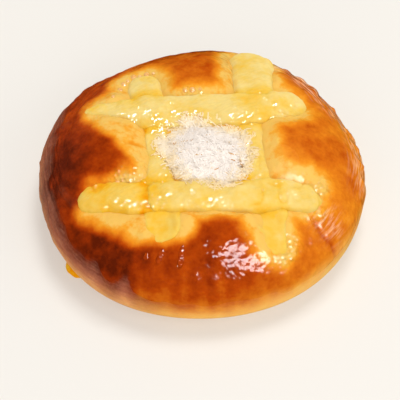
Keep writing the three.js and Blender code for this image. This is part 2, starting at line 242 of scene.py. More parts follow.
# Where the coconut lies: plan position and reach in millimetres, and how thickly.
DUST_SPOTS = [
    {"x": 1, "y": -4, "reach": 9, "cover": 0.9},
    {"x": 2, "y": -13, "reach": 8, "cover": 0.8},
    {"x": -9, "y": -3, "reach": 7, "cover": 0.4},
    {"x": 10, "y": -7, "reach": 7, "cover": 0.5},
    {"x": 12, "y": 2, "reach": 5, "cover": 0.35},
    {"x": -3, "y": 5, "reach": 6, "cover": 0.4},
    {"x": 9, "y": -15, "reach": 6, "cover": 0.4},
    {"x": -7, "y": -13, "reach": 5, "cover": 0.3},
    {"x": -14, "y": -2, "reach": 5, "cover": 0.25},
]
DUST_STEP = 0.7 * MM
COCONUT_COLOURS = [
    (0.0, (196, 146, 84)),
    (0.012, (226, 204, 166)),
    (0.03, (235, 225, 216)),
    (1.0, (241, 232, 224)),
]
# What the custard soaks into it, from its thin edge to the middle of the heap.
SOAKED_COLOURS = [(0.0, (255, 234, 176)), (0.35, (255, 246, 220)), (0.9, (255, 255, 255))]

# Floor and light: places and sizes in metres, and power in watts.
FLOOR_REACH = 3.0
FLOOR_COLOUR = (169, 167, 163)
FLOOR_GLOW = (249, 244, 236)
FLOOR_GLOW_SHARE = 0.43
LIGHT_COLOUR = (1.0, 0.985, 0.965)
SKY_STRENGTH = 0.5
LIGHTS = [
    {"name": "key", "place": (0.22, 0.3, 1.6), "width": 0.6, "height": 0.6, "power": 17.3},
    {"name": "fill", "place": (-0.35, -1.45, 0.6), "width": 1.2, "height": 1.2, "power": 10.0},
    {"name": "side", "place": (1.3, -0.5, 0.7), "width": 1.2, "height": 1.2, "power": 5.0},
    {"name": "gloss_box", "place": (0.35, -0.5, 0.51), "width": 0.46, "height": 0.4, "power": 31.0},
]
GLOSS_LIGHT = "gloss_box"  # the one light that shows in the glaze, and it shows nowhere else
LIGHT_AIM = Vector((0, 0, 20)) * MM

# View
CAMERA_TARGET = Vector((-0.9, -11.1, 15)) * MM
CAMERA_DISTANCE = 620 * MM
CAMERA_ELEVATION = math.radians(50)
CAMERA_LENS = 158.47
CAMERA_SENSOR = 36


def smooth(value, low, high):
    """0 below low, 1 above high, and an S-curve between."""
    share = np.clip((value - low) / (high - low), 0, 1)
    return share * share * (3 - 2 * share)


def bell(away):
    """1 at 0, and less on both sides of it."""
    return np.exp(-(away**2))


def lattice(cells, seed):
    """A fixed random number from 0 to 1 for each whole-number cell."""
    mixed = cells[:, 0] * 73856093 ^ cells[:, 1] * 19349663 ^ cells[:, 2] * 83492791 ^ seed * 40503
    mixed = (mixed ^ (mixed >> 13)) * 1274126177
    return ((mixed ^ (mixed >> 16)) & 0xFFFFFF) / 0xFFFFFF


def noise(points, size, seed):
    """Smooth noise from -1 to 1, with bumps about size across."""
    scaled = points / size
    cell = np.floor(scaled).astype(np.int64)
    share = scaled - cell
    share = share * share * (3 - 2 * share)
    total = np.zeros(len(points))
    for corner in np.ndindex(2, 2, 2):
        weight = np.prod(np.where(corner, share, 1 - share), axis=1)
        total += weight * lattice(cell + np.array(corner), seed)
    return 2 * total - 1


def folds(points, size, seed):
    """Noise from 0 to 1 that is low but for sharp crests, like creases in a skin."""
    return (1 - np.abs(noise(points, size, seed))) ** 3


def linear(colour):
    """An sRGB colour in 0 to 255 as the linear colour that a shader takes."""
    share = np.array(colour) / 255
    light = np.where(share <= 0.04045, share / 12.92, ((share + 0.055) / 1.055) ** 2.4)
    return (*light, 1.0)


# Meshes


def cad_copy(node_name):
    """A copy of a node's mesh with its loose triangles joined."""
    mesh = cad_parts[node_name].data.copy()
    form = bmesh.new()
    form.from_mesh(mesh)
    bmesh.ops.remove_doubles(form, verts=form.verts, dist=MERGE)
    form.to_mesh(mesh)
    form.free()
    mesh.materials.clear()
    return mesh


def new_piece(name, mesh):
    piece = bpy.data.objects.new(name, mesh)
    bpy.context.scene.collection.objects.link(piece)
    return piece


def settle(piece):
    """Turns the piece's modifiers into a plain mesh."""
    evaluated = piece.evaluated_get(bpy.context.evaluated_depsgraph_get())
    mesh = bpy.data.meshes.new_from_object(evaluated)
    piece.modifiers.clear()
    piece.data = mesh


def places(mesh):
    flat = np.empty(len(mesh.vertices) * 3)
    mesh.vertices.foreach_get("co", flat)
    return flat.reshape(-1, 3)


def facings(mesh):
    flat = np.empty(len(mesh.vertices) * 3)
    mesh.vertices.foreach_get("normal", flat)
    return flat.reshape(-1, 3)


def move_to(mesh, points):
    mesh.vertices.foreach_set("co", np.ascontiguousarray(points).ravel())
    mesh.update()


def mark(mesh, name, values):
    """Stores one number at each vertex, for the finish to read."""
    layer = mesh.attributes.new(name, "FLOAT", "POINT")
    layer.data.foreach_set("value", np.ascontiguousarray(values, dtype=np.float32))


def shade_smooth(mesh):
    mesh.polygons.foreach_set("use_smooth", np.ones(len(mesh.polygons), dtype=bool))


def tree_of(*meshes):
    """One search tree over several meshes."""
    corners, faces = [], []
    for mesh in meshes:
        start = len(corners)
        corners.extend(v.co.copy() for v in mesh.vertices)
        faces.extend([start + i for i in face.vertices] for face in mesh.polygons)
    return BVHTree.FromPolygons(corners, faces)


def distances(tree, points, limit):
    """Distance from each point to the tree's nearest surface, up to a limit."""
    found = np.full(len(points), limit)
    for i, point in enumerate(points):
        hit = tree.find_nearest(Vector(point), limit)
        if hit[0] is not None:
            found[i] = hit[3]
    return found


def drop_onto(tree, x, y):
    """Where a plumb line at a plan position first meets a tree's surface, and how that faces."""
    spot, normal, _, _ = tree.ray_cast(Vector((x, y, 2 * BUN_TOP)), DOWN)
    return spot, normal


def skinned(piece, voxel, passes):
    """Gives the piece one even skin and eases its facets."""
    skin = piece.modifiers.new("skin", "REMESH")
    skin.mode = "VOXEL"
    skin.voxel_size = voxel
    ease = piece.modifiers.new("ease", "SMOOTH")
    ease.factor = 0.5
    ease.iterations = passes
    settle(piece)


def finished(piece, slot, material, *nodes):
    """Gives a piece its finish and its place in the frame."""
    piece.data.materials.clear()
    piece.data.materials.append(material)
    shade_smooth(piece.data)
    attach(piece, "root")
    if nodes:
        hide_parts(*nodes)


# Finishes


def node(tree, kind, inputs=None, **settings):
    """A new node with its settings and inputs. An input that is a socket is linked."""
    made = tree.nodes.new(kind)
    for key, value in settings.items():
        setattr(made, key, value)
    for key, value in (inputs or {}).items():
        if isinstance(value, bpy.types.NodeSocket):
            tree.links.new(value, made.inputs[key])
        else:
            made.inputs[key].default_value = value
    return made


def new_finish(name):
    material = bpy.data.materials.new(name)
    material.use_nodes = True
    return material, material.node_tree, material.node_tree.nodes["Principled BSDF"]


def vertex_number(tree, name):
    return node(tree, "ShaderNodeAttribute", attribute_name=name).outputs["Fac"]


def speckle(tree, coords, size, detail=3.0):
    """Noise from 0 to 1 with spots about size across."""
    made = node(tree, "ShaderNodeTexNoise", {"Vector": coords, "Scale": 1 / size, "Detail": detail})
    return made.outputs["Fac"]


def crinkle(tree, coords, size):
    """Small cones about size across, whose sides catch the light in angular patches."""
    made = node(tree, "ShaderNodeTexVoronoi", {"Vector": coords, "Scale": 1 / size})
    return made.outputs["Distance"]


def slanted(tree, coords):
    """Coordinates that stretch what is drawn in them along a slanting line."""
    inputs = {"Vector": coords, "Rotation": (0, 0, FILM_SLANT), "Scale": FILM_STRETCH}
    return node(tree, "ShaderNodeMapping", inputs, vector_type="TEXTURE").outputs["Vector"]


def wobbled(tree, coords, size, reach):
    """Coordinates that drift up to reach from their place, in waves about size across."""
    drift = node(tree, "ShaderNodeTexNoise", {"Vector": coords, "Scale": 1 / size}).outputs["Color"]
    inputs = {0: drift, 1: (2 * reach,) * 3, 2: coords}
    return node(tree, "ShaderNodeVectorMath", inputs, operation="MULTIPLY_ADD").outputs["Vector"]


def maths(tree, operation, first, second, clamp=False):
    made = node(tree, "ShaderNodeMath", {0: first, 1: second}, operation=operation, use_clamp=clamp)
    return made.outputs[0]


def remap(tree, value, low, high):
    """A value from 0 to 1 taken to the range from low to high."""
    made = node(tree, "ShaderNodeMapRange", {"Value": value, "To Min": low, "To Max": high})
    return made.outputs["Result"]


def ramp(tree, value, colours):
    made = node(tree, "ShaderNodeValToRGB", {"Fac": value})
    stops = made.color_ramp.elements
    while len(stops) < len(colours):
        stops.new(0.5)
    for stop, (place, colour) in zip(stops, colours):
        stop.position = place
        stop.color = linear(colour)
    return made.outputs["Color"]


def blend(tree, share, first, second, kind="MIX"):
    """Two colours as one: by their share, or multiplied."""
    inputs = {"Factor": share, "A": first, "B": second}
    return node(tree, "ShaderNodeMix", inputs, data_type="RGBA", blend_type=kind).outputs["Result"]


def bump(tree, height, strength, distance, below=None):
    inputs = {"Height": height, "Strength": strength, "Distance": distance}
    if below is not None:
        inputs["Normal"] = below
    return node(tree, "ShaderNodeBump", inputs).outputs["Normal"]


def crust_colour(tree, coords, skin, rough):
    """The baked colour with its mottling and painted wrinkle shade, then bare skin with painted sheen,
    scratches with painted sheen and glints, and the pale foot with painted bounce light over it.
    """
    bake = vertex_number(tree, "bake")
    mottle = remap(tree, speckle(tree, coords, 5 * MM, 4.0), -0.4, 0.4)
    fine = remap(tree, speckle(tree, coords, 1.2 * MM, 4.0), -0.16, 0.16)
    grain = maths(tree, "MULTIPLY", maths(tree, "ADD", mottle, fine), remap(tree, bake, 0.7, 0.5))
    # Dark and light lines along the wrinkles of the left flank: painted shade and sheen.
    wrinkle_shade_and_sheen = maths(tree, "MULTIPLY", remap(tree, skin, -0.2, 0.2), rough)
    browned = maths(tree, "ADD", bake, maths(tree, "ADD", grain, wrinkle_shade_and_sheen), clamp=True)
    baked = ramp(tree, browned, CRUST_COLOURS)
    flecked = remap(tree, speckle(tree, coords, 0.9 * MM), -0.2, 0.2)
    # Light and dark streaks along the bare skin's wrinkles: painted sheen.
    wrinkled = maths(tree, "ADD", remap(tree, skin, -0.35, 0.35), flecked)
    bare = maths(tree, "ADD", vertex_number(tree, "below"), wrinkled, clamp=True)
    bared_and_sheened = blend(tree, vertex_number(tree, "bare_skin_and_sheen"), baked, ramp(tree, bare, BARE_SKIN_AND_SHEEN_COLOURS))
    # Pale streaks: scratches with painted sheen at the right back, and painted glints on the froth.
    scratch = node(tree, "ShaderNodeMapRange", {"Value": skin, "From Min": 0.45, "From Max": 0.65})
    scuffs_and_sheen = maths(tree, "MULTIPLY", scratch.outputs["Result"], vertex_number(tree, "scuffs_and_sheen"))
    scraped = blend(tree, scuffs_and_sheen, bared_and_sheened, linear(SCUFF_AND_SHEEN_COLOUR))
    # The pale foot, lightened as painted bounce light.
    return blend(tree, vertex_number(tree, "pale_foot_and_bounce"), scraped, linear(PALE_FOOT_AND_BOUNCE_COLOUR))


def crust_relief(tree, coords, skin, rough):
    """Pores, creases, the froth of wet glaze and its slow waves, one over the other."""
    bubbles = maths(tree, "MULTIPLY", crinkle(tree, coords, 1.7 * MM), vertex_number(tree, "bubbly"))
    pores = bump(tree, speckle(tree, coords, 0.8 * MM, 4.0), 0.3, 0.1 * MM)
    creases = bump(tree, maths(tree, "MULTIPLY", skin, rough), 1.0, 0.8 * MM, pores)
    foam = bump(tree, bubbles, 1.0, 0.95 * MM, creases)
    return bump(tree, speckle(tree, coords, 2.7 * MM, 1.5), 0.9, 0.55 * MM, foam)


def crust_finish():
    material, tree, shader = new_finish("glazed_crust")
    coords = node(tree, "ShaderNodeTexCoord").outputs["Object"]
    around = node(tree, "ShaderNodeAttribute", attribute_name="around").outputs["Vector"]
    skin = speckle(tree, around, 1.3 * MM, 3.0)
    rough = vertex_number(tree, "rough")
    gloss = remap(tree, vertex_number(tree, "glaze"), 0.55, 0.06)
    tree.links.new(crust_colour(tree, coords, skin, rough), shader.inputs["Base Color"])
    tree.links.new(gloss, shader.inputs["Roughness"])
    tree.links.new(crust_relief(tree, coords, skin, rough), shader.inputs["Normal"])
    shader.inputs["IOR"].default_value = 1.5
    shader.inputs["Subsurface Weight"].default_value = 0.2
    shader.inputs["Subsurface Radius"].default_value = (1.0, 0.5, 0.15)
    shader.inputs["Subsurface Scale"].default_value = 2.0 * MM
    shader.inputs["Specular IOR Level"].default_value = 0.12
    return material


def glaze_finish():
    material, tree, shader = new_finish("thick_glaze")
    coords = node(tree, "ShaderNodeTexCoord").outputs["Object"]
    depth = speckle(tree, coords, 1.5 * MM, 2.0)
    tree.links.new(ramp(tree, depth, BEAD_COLOURS), shader.inputs["Base Color"])
    tree.links.new(bump(tree, crinkle(tree, coords, 1.4 * MM), 1.0, 0.5 * MM), shader.inputs["Normal"])
    shader.inputs["Roughness"].default_value = 0.1
    shader.inputs["IOR"].default_value = 1.5
    shader.inputs["Specular IOR Level"].default_value = 0.2
    return material


def bubble_finish():
    material, tree, shader = new_finish("bubbled_dough")
    coords = node(tree, "ShaderNodeTexCoord").outputs["Object"]
    tone = speckle(tree, coords, 1.2 * MM, 2.0)
    tree.links.new(ramp(tree, tone, BUBBLE_COLOURS), shader.inputs["Base Color"])
    shader.inputs["Roughness"].default_value = 0.2
    shader.inputs["IOR"].default_value = 1.5
    shader.inputs["Specular IOR Level"].default_value = 0.34
    shader.inputs["Subsurface Weight"].default_value = 0.3
    shader.inputs["Subsurface Radius"].default_value = (1.0, 0.6, 0.3)
    shader.inputs["Subsurface Scale"].default_value = 0.8 * MM
    return material


def film_relief(tree, coords):
    """Small slanting facets of the wet film, steeper in some places than in others."""
    bent = wobbled(tree, coords, 2.0 * MM, 0.4 * MM)
    steep = remap(tree, speckle(tree, coords, 5 * MM, 1.0), -0.2, 1.6)
    facets = maths(tree, "MULTIPLY", crinkle(tree, slanted(tree, bent), 1.4 * MM), steep)
    return bump(tree, facets, 1.0, 1.5 * MM)


def custard_finish():
    material, tree, shader = new_finish("custard_cream")
    coords = node(tree, "ShaderNodeTexCoord").outputs["Object"]
    # The depth attribute holds the custard's own yellow and, on the ropes, painted shade in creases, near
    # other ropes and on sides that face down.
    depth = vertex_number(tree, "depth")
    cloud = remap(tree, speckle(tree, coords, 7 * MM, 2.0), -0.6, 0.6)
    fleck = remap(tree, speckle(tree, coords, 1.8 * MM, 3.0), -0.2, 0.2)
    tone = maths(tree, "ADD", depth, maths(tree, "ADD", cloud, fleck), clamp=True)
    tree.links.new(ramp(tree, tone, CUSTARD_COLOURS), shader.inputs["Base Color"])
    shader.inputs["Roughness"].default_value = 0.5
    shader.inputs["IOR"].default_value = 1.45
    shader.inputs["Specular IOR Level"].default_value = 0.0
    shader.inputs["Subsurface Weight"].default_value = 0.4
    shader.inputs["Subsurface Radius"].default_value = (1.0, 0.8, 0.4)
    shader.inputs["Subsurface Scale"].default_value = 2.0 * MM
    edge = node(tree, "ShaderNodeLayerWeight", {"Blend": 0.5}).outputs["Facing"]
    facing = maths(tree, "SUBTRACT", 1.0, maths(tree, "MULTIPLY", edge, 1.6), clamp=True)
    film_share = maths(tree, "MULTIPLY", facing, vertex_number(tree, "wet"))
    tree.links.new(film_share, shader.inputs["Coat Weight"])
    shader.inputs["Coat Roughness"].default_value = 0.05
    ripple = bump(tree, speckle(tree, coords, 2.6 * MM, 4.0), 0.6, 0.5 * MM)
    tree.links.new(ripple, shader.inputs["Normal"])
    tree.links.new(film_relief(tree, coords), shader.inputs["Coat Normal"])
    return material


def coconut_finish():
    material, tree, shader = new_finish("grated_coconut")
    coords = node(tree, "ShaderNodeTexCoord").outputs["Object"]
    tone = vertex_number(tree, "tone")
    tint = remap(tree, speckle(tree, coords, 2.5 * MM, 3.0), -0.1, 0.1)
    dry = ramp(tree, maths(tree, "ADD", tone, tint, clamp=True), COCONUT_COLOURS)
    stain = ramp(tree, vertex_number(tree, "cover"), SOAKED_COLOURS)
    tree.links.new(blend(tree, 1.0, dry, stain, "MULTIPLY"), shader.inputs["Base Color"])
    shader.inputs["Roughness"].default_value = 0.55
    shader.inputs["Specular IOR Level"].default_value = 0.34
    return material


def floor_finish():
    material, tree, shader = new_finish("pale_floor")
    shader.inputs["Base Color"].default_value = linear(FLOOR_COLOUR)
    shader.inputs["Roughness"].default_value = 0.9
    shader.inputs["Specular IOR Level"].default_value = 0.34
    shader.inputs["Emission Color"].default_value = linear(FLOOR_GLOW)
    shader.inputs["Emission Strength"].default_value = FLOOR_GLOW_SHARE
    return material


# Crust


def soft_joint(distance):
    """How far each of two surfaces swells towards the other, to meet in a soft curve."""
    return JOINT / 4 * np.clip(1 - distance / JOINT, 0, 1) ** 2


def turn_between(first, second):
    """The smaller angle between two directions."""
    return np.abs(np.angle(np.exp(1j * (first - second))))


def glaze_edge(angle):
    """Height of the glaze's lower edge at an angle: a slow wave with runs hanging from it."""
    draw = np.random.default_rng(RUN_SEED)
    edge = GLAZE_EDGE + GLAZE_WAVE * (np.sin(2 * angle + 0.6) + 0.6 * np.sin(5 * angle + 2.0)) / 1.6
    for rise in GLAZE_RISES:
        away = turn_between(angle, math.radians(rise["angle"])) / math.radians(rise["half"])
        edge = edge + rise["rise"] * MM * bell(away)
    for i in range(RUN_COUNT):
        middle = 2 * math.pi * (i + draw.uniform(-RUN_SHIFT, RUN_SHIFT)) / RUN_COUNT
        width = math.radians(draw.uniform(*RUN_WIDTHS))
        length = draw.uniform(*RUN_LENGTHS) * MM
        edge = edge - length * np.exp(-((turn_between(angle, middle) / width) ** 4))
    return edge


def over_edge(points):
    """How far each point is above the lower edge of the glaze."""
    return points[:, 2] - glaze_edge(np.arctan2(points[:, 1], points[:, 0]))


def left_flank(points):
    """1 on the left flank, which is rougher and browned lower down, and 0 away from it."""
    return smooth(-points[:, 0] + 0.4 * points[:, 1], 30 * MM, 46 * MM)


def near_spot(points, spot):
    """1 at the middle of a spot, and less away from it."""
    away = np.hypot(points[:, 0] - spot["x"] * MM, points[:, 1] - spot["y"] * MM) / (spot["reach"] * MM)
    return bell(away)


def heat(points):
    return HEAT_BASE + sum(spot["heat"] * near_spot(points, spot) for spot in HEAT_SPOTS)


def wider_margin(points):
    return sum(spot["wider"] * MM * near_spot(points, spot) for spot in PALE_SHIFTS)


def quads(mesh):
    """Joins the triangles that make up each four-sided facet."""
    form = bmesh.new()
    form.from_mesh(mesh)
    bmesh.ops.join_triangles(form, faces=form.faces, angle_face_threshold=1.2, angle_shape_threshold=1.2)
    form.to_mesh(mesh)
    form.free()


def around_bun(points, along, down):
    """Coordinates on the bun's flank: two go round it, scaled by along, and one down it, by down."""
    turn = np.arctan2(points[:, 1], points[:, 0])
    reach = along * BUN_RADIUS
    slope = points[:, 2] - np.hypot(points[:, 0], points[:, 1])
    return np.stack([reach * np.cos(turn), reach * np.sin(turn), down * slope], axis=1)


def browning(points, to_custard):
    """How brown the crust is, from 0 for pale dough to 1 for mahogany."""
    ragged = 0.9 * MM * noise(points, 6 * MM, 3) + 0.3 * MM * noise(points, 2.2 * MM, 4)
    away = smooth(to_custard + ragged - wider_margin(points), PALE_NEAR, PALE_FAR)
    ragged_foot = 8 * MM * left_flank(points) + 1.5 * MM * noise(points, 7 * MM, 5)
    foot = smooth(points[:, 2] + ragged_foot, 3 * MM, 25 * MM)
    front = smooth(-points[:, 1], 38 * MM, 46 * MM)
    streaks = front * noise(around_bun(points, 1.0, 0.2), 3 * MM, 31)
    return heat(points) * away * (0.12 + 0.88 * foot) + 0.09 * streaks


def line_distance(points, line):
    """Distance in plan from each point to a line of corners."""
    nearest = np.full(len(points), np.inf)
    for start, end in zip(np.array(line) * MM, np.array(line[1:]) * MM):
        along = end - start
        step = np.clip((points[:, :2] - start) @ along / (along @ along), 0, 1)
        gap = points[:, :2] - start - step[:, None] * along
        nearest = np.minimum(nearest, np.hypot(gap[:, 0], gap[:, 1]))
    return nearest


def ridge_form(points):
    """1 on the crest of a raised fold, and less away from it."""
    crest = sum(bell(line_distance(points, line) / RIDGE_HALF) for line in RIDGES)
    return crest * smooth(points[:, 2], 14 * MM, 18 * MM)


def scuff_and_sheen_sector(points):
    """How scratched the crust is, and how much painted sheen it has, from 0 to 1 at the outer edge of its
    sector.
    """
    angle = np.degrees(np.arctan2(points[:, 1], points[:, 0]))
    sector = smooth(angle, *SCUFF_SHEEN_START) * (1 - smooth(angle, *SCUFF_SHEEN_END))
    inner = 49 * MM - 5 * MM * smooth(angle, 10, 30)
    return sector * smooth(np.hypot(points[:, 0], points[:, 1]) - inner, 0, 8 * MM)


def cut_form(points):
    """1 in the middle of the small tear, less along the crease and 0 away from both."""
    x = (points[:, 0] - TEAR.x) / TEAR_HALF.x
    y = (points[:, 1] - TEAR.y + 0.5 * MM * noise(points, 2 * MM, 21)) / TEAR_HALF.y
    tear = np.exp(-(x**2) - y**2) * (points[:, 2] > 20 * MM)
    crease = bell(line_distance(points, CREASE) / CREASE_HALF) * (points[:, 2] > 10 * MM)
    return np.maximum(tear, CREASE_SHARE * crease)


def crust_lift(points, to_custard, over, left, cut):
    """How far the crust rises from the bare solid."""
    lift = GLAZE_THICK * smooth(over, -0.5 * MM, 0.5 * MM)
    lift += GLAZE_LIP * bell((over - GLAZE_LIP_UP) / GLAZE_LIP_UP)
    lift *= smooth(-points[:, 0], 0, 24 * MM)
    lift += soft_joint(to_custard - 0.4 * MM) * (0.65 + 0.75 * smooth(points[:, 1], -36 * MM, -29 * MM))
    lift += RIDGE_RISE * ridge_form(points)
    lift -= TEAR_DEPTH * cut
    lift += 0.5 * MM * left * folds(around_bun(points, 0.2, 1.0), 3 * MM, 6)
    top = smooth(points[:, 2], 8 * MM, 16 * MM)
    for rise, size, seed in SWELLS:
        lift += rise * MM * top * noise(points, size * MM, seed)
    lift += 0.7 * MM * scuff_and_sheen_sector(points) * smooth(noise(points, 4 * MM, 41), 0.2, 0.6)
    return lift * smooth(points[:, 2], 0, 3 * MM)


def bun_blank():
    """The dough's solid with its facets rounded."""
    mesh = cad_copy("bun")
    quads(mesh)
    piece = new_piece("bun_crust", mesh)
    rounder = piece.modifiers.new("round", "SUBSURF")
    rounder.levels = BUN_LEVELS
    rounder.render_levels = BUN_LEVELS
    settle(piece)
    return piece


def wet_patches(points, to_custard):
    """Where the glaze beside the custard stays wet and wrinkled."""
    wet = np.clip(sum(near_spot(points, spot) for spot in WET_SPOTS), 0, 1)
    return wet * (1 - smooth(to_custard, 3 * MM, 7 * MM))


def mark_skin(mesh, points, over, left):
    """Marks where the crust is glossy or rough, bare with painted sheen, pale at its foot with painted
    bounce light, or scratched with painted sheen and glints.
    """
    height = points[:, 2]
    glaze = smooth(over, -2.0 * MM, 1.0 * MM)
    lower_left = smooth(-points[:, 0] - 0.3 * points[:, 1], 20 * MM, 46 * MM)
    right = smooth(points[:, 0], 10 * MM, 45 * MM)
    pale_foot_and_bounce = 1 - smooth(height - 4 * MM * right + 1.5 * MM * noise(points, 6 * MM, 33), 6 * MM, 16 * MM)
    mark(mesh, "glaze", glaze * (1 - 0.6 * left) * (1 - near_spot(points, DRY_SPOT)))
    mark(mesh, "rough", left * (1 - smooth(height, 26 * MM, 34 * MM)))
    # Bare skin on the lower left, with painted sheen; ridge crests get a little of it as a painted
    # highlight.
    mark(mesh, "bare_skin_and_sheen", np.maximum(0.75 * (1 - glaze) * lower_left, 0.25 * ridge_form(points)))
    mark(mesh, "below", smooth(-over, -2 * MM, 14 * MM))
    # The pale foot, partly painted bounce light, fades out on the lower left.
    mark(mesh, "pale_foot_and_bounce", 0.65 * pale_foot_and_bounce * (1 - 0.75 * lower_left))
    # Scratches with painted sheen at the right back, and the froth's painted glints.
    mark(mesh, "scuffs_and_sheen", np.maximum(0.75 * scuff_and_sheen_sector(points), 0.7 * near_spot(points, FROTH_GLINTS_SPOT)))


def build_bun(custard_tree):
    piece = bun_blank()
    mesh = piece.data
    points = places(mesh)
    to_custard = distances(custard_tree, points, 20 * MM)
    over = over_edge(points)
    left = left_flank(points) * smooth(points[:, 2], 4 * MM, 10 * MM)
    cut = cut_form(points)
    lift = crust_lift(points, to_custard, over, left, cut)
    move_to(mesh, points + facings(mesh) * lift[:, None])
    # The tear and the crease are browned more: painted shade in their hollows.
    mark(mesh, "bake", np.clip(browning(points, to_custard) + 0.3 * cut, 0, 1))
    mark(mesh, "bubbly", wet_patches(points, to_custard))
    mark_skin(mesh, points, over, left)
    layer = mesh.attributes.new("around", "FLOAT_VECTOR", "POINT")
    layer.data.foreach_set("vector", around_bun(points, 0.2, 1.0).astype(np.float32).ravel())
    finished(piece, "crust", crust_finish(), "bun")
    return piece


def bead_form(bead, crust_tree):
    """A drop-shaped bead that lies on the crust and is fuller at its foot."""
    spot, normal = drop_onto(crust_tree, bead["x"] * MM, bead["y"] * MM)
    down = (DOWN - normal * DOWN.dot(normal)).normalized()
    side = normal.cross(down)
    form = bmesh.new()
    bmesh.ops.create_uvsphere(form, u_segments=24, v_segments=16, radius=1)
    for corner in form.verts:
        x, y, z = corner.co
        full = 0.85 + 0.15 * y + 0.12 * math.sin(5 * y + 9 * bead["x"])
        step = side * (bead["half"] * full * x) + down * (bead["length"] * y)
        step += normal * (bead["rise"] * full * z)
        corner.co = spot + step * MM
    return form


def bubble_form(bubble, crust_tree):
    """A round bubble that stands a little out of the dough."""
    spot, normal = drop_onto(crust_tree, bubble["x"] * MM, bubble["y"] * MM)
    spot = spot - normal * (0.45 * bubble["radius"] * MM)
    form = bmesh.new()
    bmesh.ops.create_icosphere(form, subdivisions=3, radius=bubble["radius"] * MM)
    bmesh.ops.translate(form, verts=form.verts, vec=spot)
    return form


def joined(name, forms):
    """One piece of several closed forms."""
    whole = bmesh.new()
    for form in forms:
        loose = bpy.data.meshes.new("loose")
        form.to_mesh(loose)
        form.free()
        whole.from_mesh(loose)
        bpy.data.meshes.remove(loose)
    bmesh.ops.recalc_face_normals(whole, faces=whole.faces)
    mesh = bpy.data.meshes.new(name)
    whole.to_mesh(mesh)
    whole.free()
    return new_piece(name, mesh)


def build_beads(crust_tree):
    piece = joined("glaze_beads", [bead_form(bead, crust_tree) for bead in GLAZE_BEADS])
    finished(piece, "crust", glaze_finish(), "bun")


def build_bubbles(crust_tree):
    piece = joined("dough_bubbles", [bubble_form(bubble, crust_tree) for bubble in BUBBLES])
    finished(piece, "crust", bubble_finish(), "bun")


# Custard


def rope_blank(node_name, bun_tree):
    """A rope's solid in one even skin, swollen a little and with its edges sunk into the dough."""
    mesh = cad_copy(node_name)
    points = places(mesh)
    to_dough = distances(bun_tree, points, 5 * MM)
    points = points + facings(mesh) * ROPE_SWELL
    points[:, 2] -= ROPE_SINK * (1 - smooth(to_dough, 0.9 * MM, 1.7 * MM))
    move_to(mesh, points)
    piece = new_piece(node_name.replace("custard_rope", "custard"), mesh)
    skinned(piece, ROPE_VOXEL, ROPE_EASE)
    return piece


def rope_creases(points, across, seed):
    """How deep each point lies in a crease."""
    creases = folds(across, 5 * MM, seed + 40) * smooth(noise(points, 9 * MM, seed + 60), -0.4, 0.4)
    return creases * (1 - smooth(points[:, 1], 20 * MM, 25 * MM))


def press_foot(points, lift, bun_tree, seed):
    """Presses a rope's front end onto the dough, with an uneven edge. Changes points and lift in place."""
    flat = smooth(-points[:, 1], 30 * MM, 35 * MM)
    flush = 0.4 * flat + 0.1 * smooth(-points[:, 1], 35 * MM, 43 * MM)
    points[:, 2] -= flush * distances(bun_tree, points, 5 * MM)
    points[:, 0] += 0.8 * MM * flat * noise(points, 5 * MM, seed + 140)
    points[:, 1] += 0.8 * MM * flat * noise(points, 5 * MM, seed + 160)
    lift *= 1 - 0.7 * flat


def build_rope(node_name, seed, bun_tree):
    """A rope with soft lumps and creases, and how deep each vertex lies in a crease."""
    others = [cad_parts[name].data for name in ROPES if name != node_name]
    neighbours = tree_of(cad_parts["bun"].data, *others)
    piece = rope_blank(node_name, bun_tree)
    mesh = piece.data
    points = places(mesh)
    across = points * np.array(LENGTHWISE if node_name in LOWER_ROPES else CROSSWISE)
    lumps = 0.7 * MM * noise(points, 9 * MM, seed) + 0.45 * MM * noise(points, 4 * MM, seed + 20)
    creases = rope_creases(points, across, seed)
    wrinkles = folds(across, 2.6 * MM, seed + 100) * smooth(noise(points, 6 * MM, seed + 120), -0.3, 0.6)
    lift = 0.1 * MM + lumps - 0.6 * MM * creases**2 + 0.2 * MM * wrinkles
    lift += 0.14 * MM * noise(points, 1.6 * MM, seed + 80)
    lift += 0.6 * soft_joint(distances(neighbours, points, JOINT) - 0.4 * MM)
    if node_name in LOWER_ROPES:
        press_foot(points, lift, bun_tree, seed)
    move_to(mesh, points + facings(mesh) * lift[:, None])
    return piece, creases


def film_cover(mesh):
    """Where the wet film lies on the custard: in broad patches on what faces up."""
    points = places(mesh)
    patches = smooth(noise(points, 7 * MM, 27), -0.8, -0.2) * smooth(points[:, 1], -32 * MM, -28 * MM)
    spots = sum(near_spot(points, spot) for spot in FILM_SPOTS)
    return np.clip(patches + spots, 0, 1) * smooth(facings(mesh)[:, 2], 0.6, 0.85)


def build_custard(bun_tree, material):
    made = [build_rope(name, ROPE_SEED + i, bun_tree) for i, name in enumerate(ROPES)]
    ropes = [rope for rope, _ in made]
    for (rope, creases), (node_name, yellow) in zip(made, ROPES.items()):
        mesh = rope.data
        points = places(mesh)
        others = tree_of(*(other.data for other in ropes if other is not rope))
        near_ropes_shade = 1 - smooth(distances(others, points, 6 * MM), 0.2 * MM, 3.5 * MM)
        low = 1 - smooth(facings(mesh)[:, 2], 0.2, 0.9)
        feet = smooth(-points[:, 1], 29 * MM, 34 * MM)
        knobs = smooth(points[:, 1], 18 * MM, 26 * MM)
        # The rope's own yellow, with deeper feet and paler knobs, plus painted shade: deeper yellow near
        # the other ropes, in its creases and on sides that face down.
        depth = yellow + 0.32 * near_ropes_shade + 0.2 * creases + 0.1 * low + 0.12 * (feet - knobs)
        mark(mesh, "depth", np.clip(depth, 0, 1))
        mark(mesh, "wet", film_cover(mesh))
        finished(rope, "custard", material, node_name)
    return ropes


